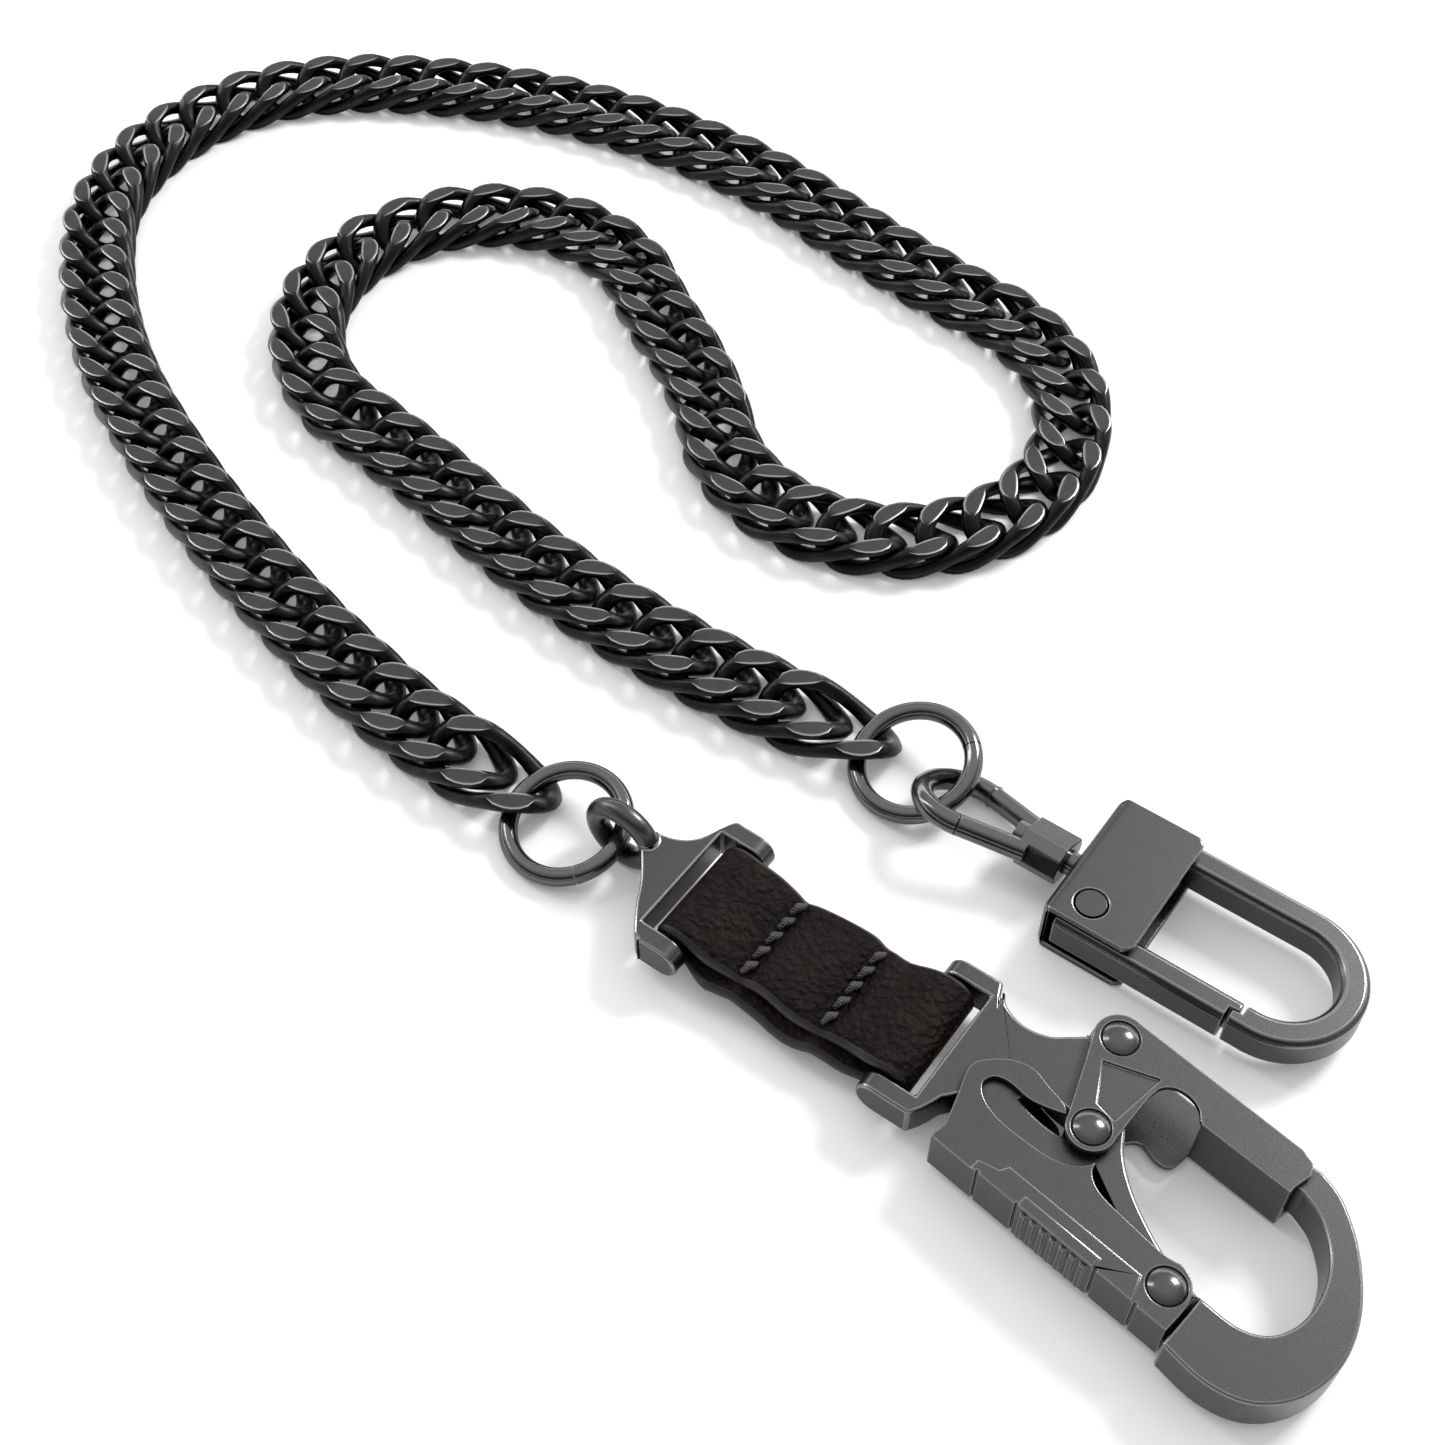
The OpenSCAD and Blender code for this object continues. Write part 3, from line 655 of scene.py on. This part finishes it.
dressed("ring_strap_side", "ring_a", RING_METAL, round_mm=0)
dressed("ring_hook_side", "ring_b", RING_METAL, round_mm=0)
dressed("strap_fitting", "fitting", HOOK_METAL, round_mm=0.3, edge=EDGE_WEAR_AND_GLINT_METAL)
dressed("snap_hook_body", "snap_hook", HOOK_METAL, round_mm=0.35, edge=EDGE_WEAR_AND_GLINT_METAL)
dressed("snap_gate", "gate", HOOK_METAL, round_mm=0.1, edge=EDGE_WEAR_AND_GLINT_METAL)
dressed("lock_lever", "lever", HOOK_METAL, round_mm=0.1, edge=EDGE_WEAR_AND_GLINT_METAL)
dressed("swivel_eye", "eye", RING_METAL, round_mm=0.15)
dressed("swivel_post", "hook", RING_METAL, round_mm=0.15)
dressed("hook_housing", "hook", HOOK_METAL, round_mm=0.2, edge=EDGE_WEAR_AND_GLINT_METAL)
dressed("hook_bar", "hook", HOOK_METAL, round_mm=0.2, edge=EDGE_WEAR_AND_GLINT_METAL)
dressed("hook_gate_bar", "hook_gate", HOOK_METAL, round_mm=0.2, edge=EDGE_WEAR_AND_GLINT_METAL)
body_of_node = {n: b for b, ns in frame["record"]["behaviour"]["bodies"].items() for n in ns}
for rivet in sorted(n for n in frame["nodes"] if n.endswith("rivet")):
    dressed(rivet, body_of_node[rivet], RIVET_METAL, round_mm=0.04)
for spring in sorted(n for n in frame["nodes"] if n.endswith("spring")):
    dressed(spring, body_of_node[spring], SPRING_METAL, round_mm=0)


# ---------------------------------------------------------------- leather strap

# The strap's sizes in mm
LEATHER_T = 1.5  # thickness of one layer
STRAP_W = 14
STITCH_X = 7.4  # from a crossbar's centre to where the layers meet
ROW_INSET = 2.2  # puts each row of stitches just inside that place
LAYER_GAP = 0.02  # half the gap between the layers
# Numbers of points: along a layer, down to the other, round a crossbar, and across the section
RUN_POINTS, EASE_POINTS, LOOP_POINTS = 25, 9, 15
FLAT_POINTS, ROUND_POINTS = 13, 5


def strap_band(half, loop_r):
    """Points of the middle of the leather in mm, x along the strap and z up, as a closed loop.

    It goes round one crossbar at loop_r, down to the other layer by 3e^2 - 2e^3, along, and back
    round the far crossbar. half is the distance from the strap's middle to its end.
    """
    bar = half - loop_r - LEATHER_T / 2
    turn = np.radians(np.linspace(90, 270, LOOP_POINTS))
    ease = np.linspace(0, 1, EASE_POINTS)[1:-1]
    blend = ease * ease * (3 - 2 * ease)
    join = bar - STITCH_X
    near = LEATHER_T / 2 + LAYER_GAP
    down_x = bar + (join - bar) * ease
    down_z = loop_r + (near - loop_r) * blend
    run = np.linspace(join, -join, RUN_POINTS)
    left_x = np.concatenate([-down_x[::-1], -bar + loop_r * np.cos(turn), -down_x])
    left_z = np.concatenate([down_z[::-1], loop_r * np.sin(turn), -down_z])
    x = np.concatenate([run, left_x, -run, -left_x])
    z = np.concatenate([np.full_like(run, near), left_z, np.full_like(run, -near), -left_z])
    return x, z


def strap_section():
    """The leather's section in mm, w across and h through it: flat, with arcs for its sides."""
    flat_half = STRAP_W / 2 - 0.6
    bulge = 0.55
    side = STRAP_W / 2 - bulge
    side_h = LEATHER_T / 2 - 0.1
    corner = np.radians(np.linspace(-75, 75, ROUND_POINTS))
    w = np.concatenate([
        np.linspace(-1, 1, FLAT_POINTS) * flat_half,
        side + bulge * np.cos(corner[::-1]),
        np.linspace(1, -1, FLAT_POINTS) * flat_half,
        -(side + bulge * np.cos(corner)),
    ])
    h = np.concatenate([
        np.full(FLAT_POINTS, LEATHER_T / 2),
        side_h * np.sin(corner[::-1]),
        np.full(FLAT_POINTS, -LEATHER_T / 2),
        side_h * np.sin(corner),
    ])
    return w, h


def leather_strap():
    """The strap, its section carried along its band, and where its rows of stitches go.

    Its straight part takes two waves, sines along the strap and across it. Each row of stitches
    presses a dip of exp(-d^2) at d mm from it, the leather between the rows swells by
    1 - (x / row)^2, and its sides droop with the sixth power of the distance from the middle.
    The lower layer lies to one side. The dip's root, on the upper layer, sets how dark the
    pressed line is painted: painted shade in the groove.
    Returns the strap's centre, its directions along and across, and row, from its middle in mm.
    """
    wave_slow, wave_quick, wave_below = 0.22, 0.12, 0.6
    dip_above, dip_below = 0.55, -0.25
    belly_above, belly_below = 0.25, -0.6
    droop, narrow, sway, shift_below = 0.35, 0.02, 0.3, 1.7
    groove_half, groove_fade, groove_dark = 6, 0.8, 0.9
    # The straight part begins just off each crossbar, and takes its full form 4 mm further on
    straight_from, straight_over = 2, 4

    points, _ = welded("leather_strap")
    _, axis = plan_axis(points)
    low, high = points.min(axis=0), points.max(axis=0)
    centre = (low + high) / 2
    across = np.array([-axis[1], axis[0]])
    half = np.abs((points - centre)[:, :2] @ axis).max() / MM
    loop_r = (high[2] - low[2]) / 2 / MM - LEATHER_T / 2
    row = half - loop_r - ROW_INSET - STITCH_X

    x, z = strap_band(half, loop_r)
    w, h = strap_section()
    along = np.stack([np.roll(x, -1) - np.roll(x, 1), np.roll(z, -1) - np.roll(z, 1)], axis=-1)
    along /= np.linalg.norm(along, axis=-1, keepdims=True)
    px = x[:, None] - along[:, 1:] * h
    pz = z[:, None] + along[:, :1] * h

    upper = (np.sign(z) > 0)[:, None]
    from_turn = half - loop_r - straight_from - np.abs(x)
    straight = np.clip(from_turn / straight_over, 0, 1)[:, None]
    wave = wave_slow * np.sin(px * 0.55 + 0.9) * np.cos(w * 0.25)
    wave = wave + wave_quick * np.sin(px * 0.9 + w * 0.5)
    dip = sum(np.exp(-((px - s * row) ** 2)) for s in (-1, 1))
    belly = np.clip(1 - (px / row) ** 2, 0, 1)
    pressed = np.where(upper, dip_above, dip_below) * dip
    pz = pz + straight * (np.where(upper, wave, wave_below * wave) - pressed)
    pz = pz + belly * np.where(upper, belly_above, belly_below)
    pz = pz - droop * np.clip(np.abs(w) / (STRAP_W / 2), 0, 1) ** 6 * straight
    py = w * (1 - narrow * straight) + sway * np.sin(px * 0.5 + 0.4) * straight * np.sign(w)
    py = py - np.where(upper, 0, shift_below) * straight
    ways = np.array([[*axis, 0], [*across, 0], [0, 0, 1]])
    local = px[..., None] * ways[0] + py[..., None] * ways[1] + pz[..., None] * ways[2]
    place = centre + MM * local

    # Painted shade along each row of stitches, darkest in the groove it presses in
    groove = np.clip((groove_half - np.abs(w)) / groove_fade, 0, 1)
    groove = groove_dark * (np.where(upper, np.sqrt(dip), 0) * groove)
    band = piece(
        "strap_leather",
        place,
        ring_faces(*px.shape),
        LEATHER,
        "strap",
        ["leather_strap"],
        {"groove": groove},
    )
    band.data.materials.append(LEATHER_EDGE)
    column = np.arange(px.shape[1])
    first_side = (column >= FLAT_POINTS - 1) & (column < FLAT_POINTS + ROUND_POINTS)
    is_side = first_side | (column >= 2 * FLAT_POINTS + ROUND_POINTS - 1)
    band.data.polygons.foreach_set(
        "material_index", np.tile(is_side.astype(np.int32), px.shape[0])
    )
    return centre, axis, across, row


strap_centre, strap_axis, strap_across, strap_row = leather_strap()


def stitches(name, x_at):
    """A row of five stitches across the strap, each a short arch (s, sin pi s) of two-ply thread.

    Round the thread its radius is 1 + 0.2 cos(2a - 9s), two plies that wind along it, and it
    thins where it enters the leather. The thread is about 1 mm thick.
    """
    rows, columns, count = 22, 16, 5
    # In mm: one stitch's length, the distance from one to the next, how far it slants, how high
    # it arches, its thread's radius, and how far its ends sink
    length, gap, slant, arch, thread_r, sunk = 2.2, 2.35, 0.7, 0.42, 0.5, 0.5
    ply, winding, flattened = 0.2, 9, 0.8
    top = LEATHER_T + 0.05
    uv_length = 4
    s = np.linspace(0, 1, rows)[:, None]
    a = np.linspace(0, 2 * np.pi, columns, endpoint=False)[None, :]
    taper = np.sin(np.pi * np.clip(s, 0.02, 0.98)) ** 0.4
    fat = thread_r * taper * (1 + ply * np.cos(2 * a - winding * s))
    parts = []
    for k in range(count):
        y = (k - (count - 1) / 2) * gap + length * (s - 0.5) + 0 * a
        x = x_at + slant * (s - 0.5) + fat * np.cos(a)
        z = top - sunk + arch * np.sin(np.pi * s) + fat * np.sin(a) * flattened
        parts.append(np.stack([x, y, z], axis=-1).reshape(-1, 3))
    wrap = np.stack([uv_length * s + 0 * a, a / 2 / np.pi + 0 * s], axis=-1).reshape(-1, 2)
    faces = ring_faces(rows, columns, closed_rows=False)
    ways = np.array([[*strap_axis, 0], [*strap_across, 0], [0, 0, 1]])
    piece(
        name,
        strap_centre + np.vstack(parts) @ ways * MM,
        np.vstack([faces + rows * columns * k for k in range(count)]),
        THREAD,
        "strap",
        uv=np.tile(wrap, (count, 1)),
    )


for side, word in ((-1, "ring_end"), (1, "hook_end")):
    stitches(f"stitches_{word}", side * strap_row)


# ---------------------------------------------------------------- floor, light and camera

FLOOR_HALF = 3.0
FLOOR_GLOW = 0.1
corners = [(x * FLOOR_HALF, y * FLOOR_HALF, 0) for x, y in ((-1, -1), (1, -1), (1, 1), (-1, 1))]
floor_mesh = bpy.data.meshes.new("studio_floor")
floor_mesh.from_pydata(corners, [], [(0, 1, 2, 3)])
floor = bpy.data.objects.new("studio_floor", floor_mesh)
bpy.context.scene.collection.objects.link(floor)
# Matt white paper, which takes soft shadows. It glows a little, but only where it is seen or
# mirrored, so that it looks white and sheds no soft light
paper, tree, out = blank("paper_sweep_white")
shader = add(
    tree, "BsdfPrincipled", {"Base Color": linear("#fafaf9"), "Roughness": 0.9, "IOR": 1.2}
)
rays = add(tree, "LightPath").outputs
seen = add(tree, "Math", {0: rays["Is Camera Ray"], 1: rays["Is Glossy Ray"]}, operation="ADD")
seen = add(
    tree,
    "Math",
    {0: seen.outputs["Value"], 1: rays["Is Transmission Ray"]},
    operation="ADD",
    use_clamp=True,
)
lift = add(tree, "Math", {0: seen.outputs["Value"], 1: FLOOR_GLOW}, operation="MULTIPLY")
glow = add(tree, "Emission", {"Strength": lift.outputs["Value"]})
both = add(tree, "AddShader", {0: shader.outputs["BSDF"], 1: glow.outputs["Emission"]})
tree.links.new(both.outputs["Shader"], out.inputs["Surface"])
floor_mesh.materials.append(paper)


def lamp(name, place, width, height, power):
    """A soft box: a rectangular lamp turned to the origin, in metres, its power in watts."""
    data = bpy.data.lights.new(name, "AREA")
    data.shape = "RECTANGLE"
    data.size = width
    data.size_y = height
    data.energy = power
    thing = bpy.data.objects.new(name, data)
    thing.location = place
    thing.rotation_euler = (-Vector(place)).to_track_quat("-Z", "Y").to_euler()
    bpy.context.scene.collection.objects.link(thing)


lamp("key_softbox", place=(0.62, 0.42, 0.62), width=0.26, height=0.26, power=7.0)
lamp("side_softbox", place=(-0.5, 0.3, 0.4), width=0.1, height=0.5, power=1.2)

# The room: white overhead and a little behind, falling to dark grey at the walls
OVERHEAD = (0.08, 0.35, 0.93)
world = bpy.data.worlds.new("studio")
bpy.context.scene.world = world
world.use_nodes = True
room = world.node_tree
towards = add(room, "TexCoord").outputs["Generated"]
height = add(room, "VectorMath", {0: towards, 1: OVERHEAD}, operation="DOT_PRODUCT")
strength = add(
    room,
    "MapRange",
    {
        "Value": height.outputs["Value"],
        FROM_LOW: 0.3,
        FROM_HIGH: 0.9,
        TO_LOW: 0.12,
        TO_HIGH: 1.06,
    },
)
# A low strip of light all round, weaker towards the viewer, that wires show as a bright line. Its
# strength rises to 3 between two heights, falls to nothing between two more, and dims in front
level = add(room, "SeparateXYZ", {"Vector": towards})
rise = add(
    room,
    "MapRange",
    {"Value": level.outputs["Z"], FROM_LOW: 0.12, FROM_HIGH: 0.2, TO_LOW: 0.0, TO_HIGH: 3.0},
)
fall = add(
    room,
    "MapRange",
    {"Value": level.outputs["Z"], FROM_LOW: 0.28, FROM_HIGH: 0.36, TO_LOW: 1.0, TO_HIGH: 0.0},
)
back = add(
    room,
    "MapRange",
    {"Value": level.outputs["Y"], FROM_LOW: -0.35, FROM_HIGH: 0.15, TO_LOW: 0.45, TO_HIGH: 1.0},
)
strip = add(
    room, "Math", {0: rise.outputs["Result"], 1: fall.outputs["Result"]}, operation="MULTIPLY"
)
strip = add(
    room, "Math", {0: strip.outputs["Value"], 1: back.outputs["Result"]}, operation="MULTIPLY"
)
strength = add(
    room, "Math", {0: strength.outputs["Result"], 1: strip.outputs["Value"]}, operation="ADD"
)
background = room.nodes["Background"]
background.inputs["Color"].default_value = (1, 1, 1, 1)
room.links.new(strength.outputs["Value"], background.inputs["Strength"])

SENSOR_MM = 36
FRAME_WIDTHS = 2000 / 1445  # focal length in widths of the frame
camera_data = bpy.data.cameras.new("camera")
camera_data.sensor_width = SENSOR_MM
camera_data.lens = SENSOR_MM * FRAME_WIDTHS
camera_data.clip_start = 0.005
camera = bpy.data.objects.new("camera", camera_data)
camera.location = (0.01446, -0.17707, 0.1956)
camera.rotation_euler = (radians(38), 0, 0)
bpy.context.scene.collection.objects.link(camera)
bpy.context.scene.camera = camera
bpy.context.scene.view_settings.view_transform = "Standard"
